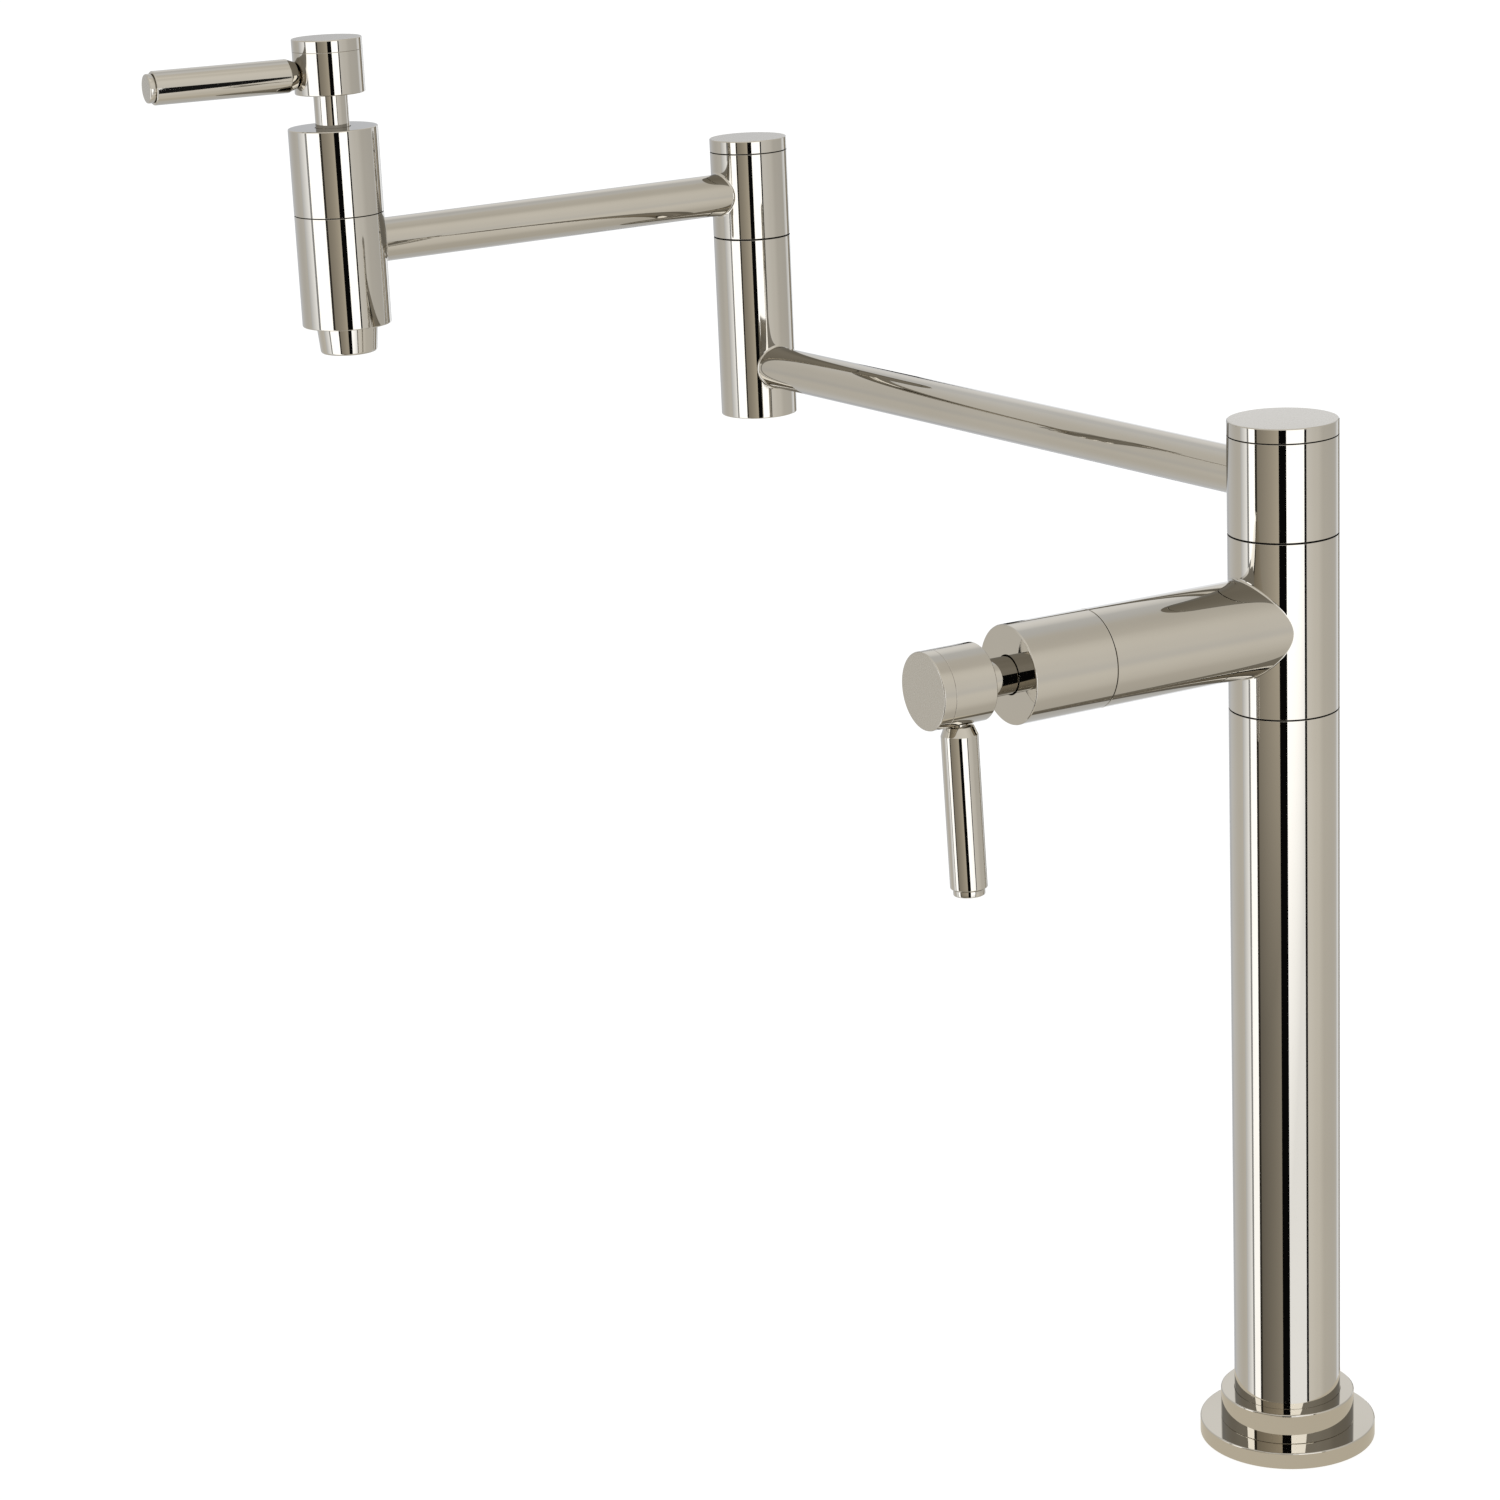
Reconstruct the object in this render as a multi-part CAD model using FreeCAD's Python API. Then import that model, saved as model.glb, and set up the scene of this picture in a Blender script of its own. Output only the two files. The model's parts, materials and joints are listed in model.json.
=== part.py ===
"""A deck-mounted pot filler: a fixed column with a shut-off valve on its side, two swinging
arms with a hollow swivel under each, and a spout with its own quarter-turn valve.

Millimetres. +Z is up, the origin is on the column's axis at the deck, and the main valve
points along -Y. The pieces lie where they are with both valves closed.
"""
import FreeCAD, Part

import math
import os

V = FreeCAD.Vector
Z_AXIS = V(0, 0, 1)

# Base and column
flange_diameter = 63.0
flange_thickness = 6.1
collar_diameter = 47.9
collar_height = 11.3
collar_lip = 2.4
column_diameter = 38.1
column_wall = 1.5
column_seam_height = 274.6
riser_diameter = 16.0
riser_wall = 1.0
gasket_thickness = 2.0
gasket_margin = 3.0

# Fixing under the deck
deck_thickness = 30.0
shank_diameter = 28.0
shank_length = 62.0
shank_plug_height = 22.0
shank_bore = 13.0
supply_tail_diameter = 20.9
supply_tail_length = 18.0
clamp_diameter = 50.0
clamp_seal_thickness = 3.0
clamp_washer_thickness = 2.0
clamp_nut_flats = 38.0
clamp_nut_height = 12.0

# Main valve on the column
tee_height = 61.5
tee_socket_depth = 14.0
valve_rise = 30.5
branch_reach = 81.0
branch_fillet = 1.0
inlet_bore = 10.0
gallery_bore = 6.0
gallery_wall = 2.9

# Quarter-turn valve, the same on the branch and on the spout
bonnet_diameter = 33.8
bonnet_length = 32.3
bonnet_wall = 2.1
bonnet_face = 4.3
neck_length = 12.0
neck_wall = 4.1
chamber_depth = 24.0
chamber_undercut = 1.0
barrel_step = 1.8
barrel_wall = 1.5
cartridge_hex_height = 6.0
seal_thickness = 1.6
disc_thickness = 3.0
disc_hub_diameter = 4.0
port_angle = 80.0
window_angle = 90.0
window_height = 6.0
driver_height = 4.0
spindle_diameter = 9.0
spline_step = 0.6
valve_seal_section = 1.6

# Handle, the same on both valves
stem_diameter = 12.8
stem_length = 12.6
hub_diameter = 26.4
hub_length = 20.5
hub_cap_thickness = 4.6
hub_cap_plug = 2.0
hub_pocket_diameter = 15.0
lever_height = 7.6
lever_reach = 68.6
lever_diameter = 12.5
lever_root_diameter = 9.8
lever_root_taper = 3.2
lever_stud_diameter = 6.0
lever_stud_depth = 7.0
tip_diameter = 10.7
tip_reach = 2.4
tip_plug_diameter = 7.0
tip_plug_depth = 8.0
screw_diameter = 4.0
screw_head_diameter = 8.0
screw_head_height = 2.6
screw_depth = 9.0
screw_slot = 1.2
main_lever_angle = -86.6
spout_lever_angle = -93.4

# Arms and their swivels
arm_diameter = 16.5
arm_wall = 1.2
arm_socket = 4.4
arm_rise = 17.4
lower_arm_length = 322.25
lower_arm_azimuth = 183.7
upper_arm_length = 184.9
upper_arm_azimuth = 273.45
head_height = 33.9
cap_thickness = 5.2
cap_plug = 2.0
cap_plug_wall = 3.0
swivel_gap = 0.4
spigot_wall = 3.4
spigot_root = 13.0
arm_port = 10.0
head_rim = 2.6
swivel_seal_section = 2.4
squeezed_corner = 0.3
thrust_washer_thickness = 1.0
thrust_washer_width = 3.4
retaining_nut_height = 3.4
retaining_stud_diameter = 10.0
column_spigot_diameter = 22.0
elbow_spigot_diameter = 18.0
elbow_diameter = 30.9
elbow_lower_height = 72.6
elbow_skirt = 20.4
elbow_floor = 7.0

# Spout and its outlet
spout_seam_rise = 12.2
spout_drop = 30.0
aerator_height = 10.6
aerator_top_diameter = 23.4
aerator_end_diameter = 21.4
aerator_edge = 1.0
aerator_thread_diameter = 20.0
aerator_thread_length = 6.5
aerator_wall = 1.4
aerator_lip = 0.8
aerator_washer_thickness = 1.6
aerator_rib = 0.8
aerator_rib_count = 4
aerator_insert_height = 8.0

# Clearances and broken edges
edge_break = 0.25
face_round = 0.5
thread_clearance = 0.12
seat_clearance = 0.05
running_clearance = 0.05
axial_play = 0.05
disc_film = 0.02
stem_clearance = 0.4
seal_clearance = 0.03
hole_clearance = 0.3

# Heights and radii worked out from the sizes above
column_radius = column_diameter / 2
column_bore = column_radius - column_wall
collar_top = flange_thickness + collar_height
foot_height = flange_thickness + collar_lip
tee_bottom = column_seam_height
column_swivel_height = tee_bottom + tee_height
valve_height = tee_bottom + valve_rise
lower_arm_height = column_swivel_height + swivel_gap + arm_rise
elbow_bottom = lower_arm_height - elbow_skirt
elbow_swivel_height = elbow_bottom + elbow_lower_height
upper_arm_height = elbow_swivel_height + swivel_gap + arm_rise
spout_seam_height = upper_arm_height + spout_seam_rise
spout_bottom = upper_arm_height - spout_drop
arm_radius = arm_diameter / 2
bonnet_radius = bonnet_diameter / 2
bonnet_bore = bonnet_radius - bonnet_wall
neck_radius = bonnet_bore - thread_clearance
neck_bore = neck_radius - neck_wall
chamber_radius = neck_bore + chamber_undercut
cartridge_radius = neck_bore - thread_clearance
barrel_radius = cartridge_radius - barrel_step
barrel_bore = barrel_radius - barrel_wall
spindle_radius = spindle_diameter / 2
spline_radius = spindle_radius - spline_step
stem_radius = stem_diameter / 2
hub_radius = hub_diameter / 2
hub_start = bonnet_length + stem_length
hub_cap_start = hub_start + hub_length - hub_cap_thickness
lever_axis = hub_start + lever_height
shank_radius = shank_diameter / 2


def direction(azimuth):
    return V(math.cos(math.radians(azimuth)), math.sin(math.radians(azimuth)), 0)


lower_arm_direction = direction(lower_arm_azimuth)
upper_arm_direction = direction(upper_arm_azimuth)
elbow_axis = lower_arm_direction * lower_arm_length
spout_axis = elbow_axis + upper_arm_direction * upper_arm_length


def turned(*corners):
    """A lathe-turned piece: the (radius, height) corners of its half section, spun about Z."""
    points = [V(r, 0, z) for r, z in corners]
    return Part.Face(Part.makePolygon(points + points[:1])).revolve(V(), Z_AXIS, 360)


def rod(radius, low, high):
    return Part.makeCylinder(radius, high - low, V(0, 0, low))


def sleeve(outer, inner, low, high):
    return turned((inner, low), (outer, low), (outer, high), (inner, high))


def drum(radius, low, high, low_edge=edge_break, high_edge=edge_break):
    """A round bar with both end edges broken."""
    return turned((0, low), (radius - low_edge, low), (radius, low + low_edge),
                  (radius, high - high_edge), (radius - high_edge, high), (0, high))


def hexagon(flats, low, high):
    corner = flats / 2 / math.cos(math.pi / 6)
    ring = [V(corner * math.cos(i * math.pi / 3), corner * math.sin(i * math.pi / 3), low) for i in range(7)]
    return Part.Face(Part.makePolygon(ring)).extrude(V(0, 0, high - low))


def bar(radius, start, end):
    """A round bar between two points."""
    return Part.makeCylinder(radius, (end - start).Length, start, end - start)


def pipe(outer, inner, start, end):
    return bar(outer, start, end).cut(bar(inner, start, end))


def wedge(radius, low, high, angle, middle):
    """A slice of a cylinder, as wide as the angle, about the given middle direction."""
    slice_ = Part.makeCylinder(radius, high - low, V(0, 0, low), Z_AXIS, angle)
    return slice_.rotate(V(), Z_AXIS, middle - angle / 2)


def o_ring(outer, section, height):
    """An O-ring squeezed square in its groove, with its corners still rounded off."""
    inner = outer - section
    low = height - section / 2
    high = height + section / 2
    corner = section * squeezed_corner
    return turned((inner + corner, low), (outer - corner, low), (outer, low + corner), (outer, high - corner),
                  (outer - corner, high), (inner + corner, high), (inner, high - corner), (inner, low + corner))


def o_ring_groove(outer, section, height):
    """The square groove that an O-ring of that outer radius lies in."""
    return sleeve(outer + section, outer - section, height - section / 2, height + section / 2)


def at(shape, place, turn=FreeCAD.Rotation()):
    """A copy of the piece, turned and moved on top of the place that it already has."""
    placed = shape.copy()
    placed.Placement = FreeCAD.Placement(place, turn).multiply(shape.Placement)
    return placed


def deck_fixing():
    """The flange and collar on the deck, and the shank that is clamped from below."""
    hole = shank_radius + hole_clearance
    gasket_inner = hole + gasket_margin
    gasket_outer = flange_diameter / 2 - gasket_margin
    flange = drum(flange_diameter / 2, 0, flange_thickness, edge_break, face_round)
    flange = flange.cut(rod(hole, 0, flange_thickness))
    flange = flange.cut(sleeve(gasket_outer, gasket_inner, 0, gasket_thickness))
    gasket = sleeve(gasket_outer - seat_clearance, gasket_inner + seat_clearance, 0, gasket_thickness)
    collar = drum(collar_diameter / 2, flange_thickness, collar_top, edge_break, face_round)
    collar = collar.cut(rod(hole, flange_thickness, collar_top))
    collar = collar.cut(rod(column_radius + seat_clearance, foot_height, collar_top))

    plug = column_bore - thread_clearance
    plug_top = foot_height + shank_plug_height
    tail = supply_tail_diameter / 2
    shank_end = -shank_length
    tail_end = shank_end - supply_tail_length
    riser_socket = riser_diameter / 2 + seat_clearance
    riser_foot = plug_top - tee_socket_depth
    shank = turned((shank_bore / 2, tail_end), (tail - edge_break, tail_end), (tail, tail_end + edge_break),
                   (tail, shank_end), (shank_radius, shank_end), (shank_radius, foot_height),
                   (plug, foot_height), (plug, plug_top), (riser_socket, plug_top),
                   (riser_socket, riser_foot), (shank_bore / 2, riser_foot))
    riser_top = tee_bottom
    riser = sleeve(riser_diameter / 2, riser_diameter / 2 - riser_wall, riser_foot, riser_top)

    seal_low = -deck_thickness - clamp_seal_thickness
    washer_low = seal_low - clamp_washer_thickness
    nut_low = washer_low - clamp_nut_height
    nut = hexagon(clamp_nut_flats, nut_low, washer_low)
    return {
        "base_flange": flange,
        "deck_gasket": gasket,
        "base_collar": collar,
        "mounting_shank": shank,
        "clamp_seal": sleeve(clamp_diameter / 2, hole, seal_low, -deck_thickness),
        "clamp_washer": sleeve(clamp_diameter / 2, hole, washer_low, seal_low),
        "clamp_nut": nut.cut(rod(shank_radius + thread_clearance, nut_low, washer_low)),
        "riser_pipe": riser,
    }


def column_tube():
    low = foot_height
    outer = drum(column_radius, low, tee_bottom)
    return outer.cut(rod(column_bore, low, tee_bottom))


def valve_neck():
    """The threaded neck that carries a bonnet, standing on the bonnet's seam at height 0."""
    return rod(neck_radius, -neck_length, neck_length)


def valve_chamber():
    """The space that a cartridge is screwed into, below and inside the neck."""
    thread = rod(neck_bore, -chamber_depth, neck_length)
    return thread.fuse(rod(chamber_radius, -chamber_depth, -thread_clearance))


def spigot_socket(spigot_diameter, height):
    """The threaded hole that a swivel's spigot is screwed into, below the given height."""
    return rod(spigot_diameter / 2 - spigot_wall / 2 + thread_clearance, height - spigot_root, height)


VALVE_TURN = FreeCAD.Rotation(V(1, 0, 0), 90)
valve_place = V(0, -branch_reach, valve_height)


def valve_tee():
    """The body on the column: water rises into the branch, and returns above it to the swivel."""
    top = column_swivel_height
    axis_low = V(0, 0, valve_height)
    branch_end = V(0, -branch_reach, valve_height)
    body = drum(column_radius, tee_bottom, top)
    branch = at(drum(bonnet_radius, -branch_reach, 0, 0), valve_place, VALVE_TURN)
    body = body.fuse(branch)
    body = body.makeFillet(branch_fillet, saddle_edges(body))
    body = body.fuse(rod(column_bore - thread_clearance, tee_bottom - tee_socket_depth, tee_bottom))
    body = body.fuse(at(valve_neck(), valve_place, VALVE_TURN))

    inlet_top = valve_height + inlet_bore / 4
    riser_socket = riser_diameter / 2 + seat_clearance
    body = body.cut(rod(riser_socket, tee_bottom - tee_socket_depth, tee_bottom))
    body = body.cut(rod(riser_diameter / 2 - riser_wall, tee_bottom, inlet_top))
    body = body.cut(bar(inlet_bore / 2, axis_low, branch_end))
    body = body.cut(at(valve_chamber(), valve_place, VALVE_TURN))

    gallery_height = inlet_bore / 2 + gallery_wall + gallery_bore / 2
    outlet_floor = valve_height + inlet_bore / 2 + gallery_wall
    outlet_radius = column_spigot_diameter / 2 - spigot_wall
    body = body.cut(rod(outlet_radius, outlet_floor, top))
    body = body.cut(spigot_socket(column_spigot_diameter, top))
    for tilt in (-30, 0, 30):
        offset = V(math.sin(math.radians(tilt)), 0, math.cos(math.radians(tilt))) * gallery_height
        gallery_end = branch_end + V(0, chamber_depth / 2, 0)
        body = body.cut(bar(gallery_bore / 2, axis_low + offset, gallery_end + offset))
    return body


def saddle_edges(body):
    """The curve where the branch meets the column: its points lie on both round faces."""
    def on_saddle(point):
        off_column = math.hypot(point.x, point.y) - column_radius
        off_branch = math.hypot(point.x, point.z - valve_height) - bonnet_radius
        return max(abs(off_column), abs(off_branch)) < edge_break / 10

    def points(edge):
        low, high = edge.ParameterRange
        return [edge.valueAt(low + (high - low) * share) for share in (0, 0.3, 0.6, 1)]

    return [edge for edge in body.Edges if all(on_saddle(point) for point in points(edge))]


def valve_set(lever_angle):
    """The bonnet, cartridge and handle of one valve, along +Z from the bonnet's seam."""
    face_low = bonnet_length - bonnet_face
    bonnet = drum(bonnet_radius, 0, bonnet_length, edge_break, face_round)
    bonnet = bonnet.cut(rod(bonnet_bore, 0, face_low))
    bonnet = bonnet.cut(rod(stem_radius + stem_clearance, face_low, bonnet_length))

    seal_low = -chamber_depth
    barrel_low = seal_low + seal_thickness
    fixed_low = barrel_low
    turning_low = fixed_low + disc_thickness + disc_film
    driver_low = turning_low + disc_thickness
    driver_high = driver_low + driver_height
    cavity_top = driver_high + axial_play + window_height
    hex_low = neck_length
    hex_high = hex_low + cartridge_hex_height
    stem_low = face_low
    barrel_top = (hex_high + stem_low) / 2
    hex_flats = 2 * (bonnet_bore - hole_clearance) * math.cos(math.pi / 6)
    spindle_hole = spindle_radius + running_clearance

    cartridge = rod(barrel_radius, barrel_low, 0)
    cartridge = cartridge.fuse(rod(cartridge_radius, 0, hex_low))
    cartridge = cartridge.fuse(hexagon(hex_flats, hex_low, hex_high))
    cartridge = cartridge.fuse(rod(barrel_radius, hex_high, barrel_top))
    cartridge = cartridge.cut(rod(barrel_bore, barrel_low, cavity_top))
    cartridge = cartridge.cut(rod(spindle_hole, cavity_top, barrel_top))
    window_low = cavity_top - window_height
    for middle in (90, 270):
        cartridge = cartridge.cut(wedge(barrel_radius + barrel_step, window_low, cavity_top, window_angle, middle))

    seal_bore = inlet_bore / 2
    seal = sleeve(barrel_radius, seal_bore, seal_low, barrel_low)
    disc_radius = barrel_bore - running_clearance
    fixed_disc = ported_disc(disc_radius, fixed_low, 0)
    turning_disc = ported_disc(disc_radius, turning_low, 90)

    pocket_floor = hub_cap_start - hub_cap_plug - hole_clearance - screw_head_height
    spline_top = pocket_floor - axial_play
    spline_low = barrel_top
    seal_heights = (hex_low / 3, 2 * hex_low / 3)
    spindle = turned((0, driver_low), (barrel_bore - running_clearance, driver_low),
                     (barrel_bore - running_clearance, driver_high), (spindle_radius, driver_high),
                     (spindle_radius, spline_low), (spline_radius, spline_low), (spline_radius, spline_top),
                     (0, spline_top))
    for middle in (90, 270):
        spindle = spindle.cut(wedge(barrel_radius, driver_low, driver_high, port_angle, middle)
                              .cut(rod(spindle_radius, driver_low, driver_high)))
    for height in seal_heights:
        spindle = spindle.cut(o_ring_groove(spindle_radius, valve_seal_section, height))
    spindle = spindle.cut(rod(screw_diameter / 2, spline_top - screw_depth, spline_top))
    seals = [o_ring(spindle_radius, valve_seal_section, height) for height in seal_heights]

    pieces = {
        "bonnet": bonnet,
        "cartridge": cartridge,
        "cartridge_seal": seal,
        "fixed_disc": fixed_disc,
        "turning_disc": turning_disc,
        "spindle": spindle,
        "spindle_seals": Part.makeCompound(seals),
    }
    pieces.update(handle(lever_angle, stem_low, spline_top, pocket_floor))
    return pieces


def ported_disc(radius, low, middle):
    """A ceramic disc with two opposite ports, the first about the given direction."""
    disc = rod(radius, low, low + disc_thickness)
    for port in (middle, middle + 180):
        opening = wedge(radius - barrel_wall, low, low + disc_thickness, port_angle, port)
        disc = disc.cut(opening.cut(rod(disc_hub_diameter / 2, low, low + disc_thickness)))
    return disc


def handle(lever_angle, stem_low, spline_top, pocket_floor):
    """The hub with its stem, the cap and screw on its axis, and the lever at the given angle."""
    hub = drum(hub_radius, hub_start, hub_cap_start, face_round, edge_break)
    hub = hub.fuse(rod(stem_radius, stem_low, hub_start))
    hub = hub.cut(rod(spline_radius + seat_clearance, stem_low, pocket_floor))
    pocket = hub_pocket_diameter / 2
    hub = hub.cut(rod(pocket, pocket_floor, hub_cap_start))
    cap = drum(hub_radius, hub_cap_start, hub_cap_start + hub_cap_thickness, edge_break, face_round)
    cap = cap.fuse(rod(pocket - seat_clearance, hub_cap_start - hub_cap_plug, hub_cap_start))

    head_top = pocket_floor + screw_head_height
    screw = rod(screw_head_diameter / 2, pocket_floor, head_top)
    screw = screw.fuse(rod(screw_diameter / 2 - seat_clearance, spline_top - screw_depth, pocket_floor))
    slot_length = screw_head_diameter + screw_slot
    slot_low = head_top - screw_head_height / 2
    screw = screw.cut(Part.makeBox(slot_length, screw_slot, screw_head_height,
                                   V(-slot_length / 2, -screw_slot / 2, slot_low)))

    root = hub_radius + seat_clearance
    rod_radius = lever_diameter / 2
    stud_radius = lever_stud_diameter / 2
    stud_end = hub_radius - lever_stud_depth
    plug_radius = tip_plug_diameter / 2
    plug_end = lever_reach - tip_plug_depth
    tip_end = lever_reach + tip_reach
    lever = turned((0, stud_end), (stud_radius, stud_end), (stud_radius, root),
                   (lever_root_diameter / 2, root), (rod_radius, root + lever_root_taper),
                   (rod_radius, lever_reach - face_round), (rod_radius - face_round, lever_reach),
                   (plug_radius + seat_clearance, lever_reach), (plug_radius + seat_clearance, plug_end),
                   (0, plug_end))
    tip = drum(tip_diameter / 2, lever_reach, tip_end, edge_break, face_round)
    tip = tip.fuse(rod(plug_radius, plug_end + axial_play, lever_reach))
    stud_hole = rod(stud_radius + seat_clearance, stud_end - axial_play, hub_radius)
    across = FreeCAD.Rotation(Z_AXIS, direction(lever_angle))
    lever_place = V(0, 0, lever_axis)
    return {
        "hub": hub.cut(at(stud_hole, lever_place, across)),
        "hub_cap": cap,
        "handle_screw": screw,
        "lever": at(lever, lever_place, across),
        "lever_tip": at(tip, lever_place, across),
    }


def swivel(radius, spigot_diameter, arm_direction):
    """One hollow swivel, up from its seam at height 0: a fixed spigot, and the head turning on it."""
    spigot_radius = spigot_diameter / 2
    water = spigot_radius - spigot_wall
    stud_radius = retaining_stud_diameter / 2
    root = spigot_radius - spigot_wall / 2
    bore = spigot_radius + running_clearance
    pocket = radius - head_rim
    socket_floor = radius - arm_socket
    gallery = (bore + socket_floor) / 2
    head_top = swivel_gap + head_height
    arm_axis = V(0, 0, swivel_gap + arm_rise)
    port_low = arm_axis.z - arm_port / 2
    port_high = arm_axis.z + arm_port / 2

    nut_high = head_top - cap_plug - hole_clearance
    nut_low = nut_high - retaining_nut_height
    shoulder = nut_low - thrust_washer_thickness
    ledge = shoulder - axial_play
    recess = thrust_washer_thickness + axial_play
    seal_heights = ((recess + port_low) / 2, (port_high + ledge) / 2)

    spigot = turned((water, -spigot_root), (root, -spigot_root), (root, 0), (spigot_radius, 0),
                    (spigot_radius, shoulder), (stud_radius, shoulder), (stud_radius, nut_high), (0, nut_high),
                    (0, port_high), (water, port_high))
    for height in seal_heights:
        spigot = spigot.cut(o_ring_groove(spigot_radius, swivel_seal_section, height))
    for turn in (0, 90):
        way = direction(turn) * radius
        spigot = spigot.cut(bar(water / 2, arm_axis - way, arm_axis + way))
    seals = [o_ring(bore - seal_clearance, swivel_seal_section, height) for height in seal_heights]

    lower_washer = sleeve(spigot_radius + thrust_washer_width, spigot_radius + seat_clearance,
                          0, thrust_washer_thickness)
    nut_corner = pocket - hole_clearance
    upper_washer = sleeve(nut_corner, stud_radius + seat_clearance, shoulder, nut_low)
    nut = hexagon(2 * nut_corner * math.cos(math.pi / 6), nut_low, nut_high)
    nut = nut.cut(rod(stud_radius + thread_clearance, nut_low, nut_high))

    head = drum(radius, swivel_gap, head_top)
    head = head.cut(rod(bore, swivel_gap, ledge))
    head = head.cut(rod(spigot_radius + thrust_washer_width + hole_clearance, swivel_gap, recess))
    head = head.cut(rod(gallery, port_low, port_high))
    head = head.cut(rod(pocket, ledge, head_top))
    socket = arm_axis + arm_direction * socket_floor
    head = head.cut(bar(arm_port / 2, arm_axis, socket))
    head = head.cut(bar(arm_radius + seat_clearance, socket, socket + arm_direction * radius))
    cap = drum(radius, head_top, head_top + cap_thickness, edge_break, face_round)
    cap = cap.fuse(sleeve(pocket - seat_clearance, pocket - cap_plug_wall, head_top - cap_plug, head_top))
    return {
        "spigot": spigot,
        "seals": Part.makeCompound(seals),
        "thrust_washers": Part.makeCompound([lower_washer, upper_washer]),
        "retaining_nut": nut,
        "head": head,
        "cap": cap,
    }


def arm_tube(start, end):
    return pipe(arm_radius, arm_radius - arm_wall, start, end)


def elbow_lower_body():
    """The elbow's fixed half: a drum with a blind bore that the lower arm opens into."""
    radius = elbow_diameter / 2
    top = elbow_swivel_height
    body = drum(radius, elbow_bottom, top, face_round)
    water = elbow_spigot_diameter / 2 - spigot_wall
    body = body.cut(rod(water, elbow_bottom + elbow_floor, top))
    body = body.cut(spigot_socket(elbow_spigot_diameter, top))
    body = at(body, elbow_axis)
    middle = V(0, 0, lower_arm_height)
    start = middle + lower_arm_direction * (lower_arm_length - radius - arm_radius)
    end = middle + elbow_axis - lower_arm_direction * (radius - arm_socket)
    way = middle + elbow_axis
    body = body.cut(bar(arm_radius + seat_clearance, start, end))
    return body.cut(bar(water, end, way))


def spout():
    """The spout's drum, with the valve chamber above and the outlet below."""
    radius = bonnet_radius
    body = drum(radius, spout_bottom, spout_seam_height, face_round)
    seam = V(0, 0, spout_seam_height)
    body = body.fuse(at(valve_neck(), seam))
    body = body.cut(at(valve_chamber(), seam))
    body = body.cut(rod(inlet_bore / 2, spout_bottom, spout_seam_height - chamber_depth))
    thread = aerator_thread_diameter / 2
    thread_top = spout_bottom + aerator_thread_length + aerator_washer_thickness
    body = body.cut(rod(thread + thread_clearance, spout_bottom, thread_top))
    middle = V(0, 0, upper_arm_height)
    start = middle - upper_arm_direction * (radius + arm_radius)
    end = middle - upper_arm_direction * (radius - arm_socket)
    body = body.cut(bar(arm_radius + seat_clearance, start, end))
    body = body.cut(bar(arm_radius - arm_wall, end, middle - upper_arm_direction * neck_bore))
    pieces = {"spout_body": body}
    pieces.update(aerator(thread, thread_top))
    return {name: at(shape, spout_axis) for name, shape in pieces.items()}


def aerator(thread, thread_top):
    """The outlet's tapered housing, screwed into the spout, with its insert and washer."""
    low = spout_bottom - aerator_height
    top_radius = aerator_top_diameter / 2
    end_radius = aerator_end_diameter / 2
    bore = thread - aerator_wall
    mouth = bore - aerator_lip
    thread_end = thread_top - aerator_washer_thickness
    lip_top = low + aerator_lip + aerator_edge
    housing = turned((mouth, low), (end_radius - aerator_edge, low), (end_radius, low + aerator_edge),
                     (top_radius, spout_bottom), (thread, spout_bottom), (thread, thread_end),
                     (bore, thread_end), (bore, lip_top), (mouth, lip_top))
    insert_radius = bore - seat_clearance
    insert_top = lip_top + aerator_insert_height
    insert = sleeve(insert_radius, insert_radius - aerator_rib, lip_top, insert_top)
    half_rib = aerator_rib / 2
    for i in range(aerator_rib_count):
        rib = Part.makeBox(2 * insert_radius - aerator_rib, aerator_rib, aerator_insert_height,
                           V(-insert_radius + half_rib, -half_rib, lip_top))
        insert = insert.fuse(rib.rotate(V(), Z_AXIS, i * 180 / aerator_rib_count))
    washer = sleeve(thread - seat_clearance, bore, thread_end, thread_top)
    return {"aerator_housing": housing, "aerator_insert": insert, "aerator_washer": washer}


def assembly():
    nodes = deck_fixing()
    nodes["column_tube"] = column_tube()
    nodes["valve_tee"] = valve_tee()
    for name, shape in valve_set(main_lever_angle).items():
        nodes["main_" + name] = at(shape, valve_place, VALVE_TURN)

    column_seam = V(0, 0, column_swivel_height)
    for name, shape in swivel(column_radius, column_spigot_diameter, lower_arm_direction).items():
        nodes["column_" + name] = at(shape, column_seam)
    arm_height = V(0, 0, lower_arm_height)
    arm_start = arm_height + lower_arm_direction * (column_radius - arm_socket)
    arm_end = arm_height + elbow_axis - lower_arm_direction * (elbow_diameter / 2 - arm_socket)
    nodes["lower_arm_tube"] = arm_tube(arm_start, arm_end)
    nodes["elbow_lower_body"] = elbow_lower_body()

    elbow_seam = elbow_axis + V(0, 0, elbow_swivel_height)
    for name, shape in swivel(elbow_diameter / 2, elbow_spigot_diameter, upper_arm_direction).items():
        nodes["elbow_" + name] = at(shape, elbow_seam)
    arm_height = elbow_axis + V(0, 0, upper_arm_height)
    arm_start = arm_height + upper_arm_direction * (elbow_diameter / 2 - arm_socket)
    arm_end = arm_height + upper_arm_direction * (upper_arm_length - bonnet_radius + arm_socket)
    nodes["upper_arm_tube"] = arm_tube(arm_start, arm_end)

    nodes.update(spout())
    spout_seam = spout_axis + V(0, 0, spout_seam_height)
    for name, shape in valve_set(spout_lever_angle).items():
        nodes["spout_" + name] = at(shape, spout_seam)
    return nodes


os.makedirs("parts", exist_ok=True)
for node, solid in assembly().items():
    solid.exportStep("parts/" + node + ".step")
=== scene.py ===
"""The looks of a deck-mounted pot filler in polished nickel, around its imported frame."""

import json
import math

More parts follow.
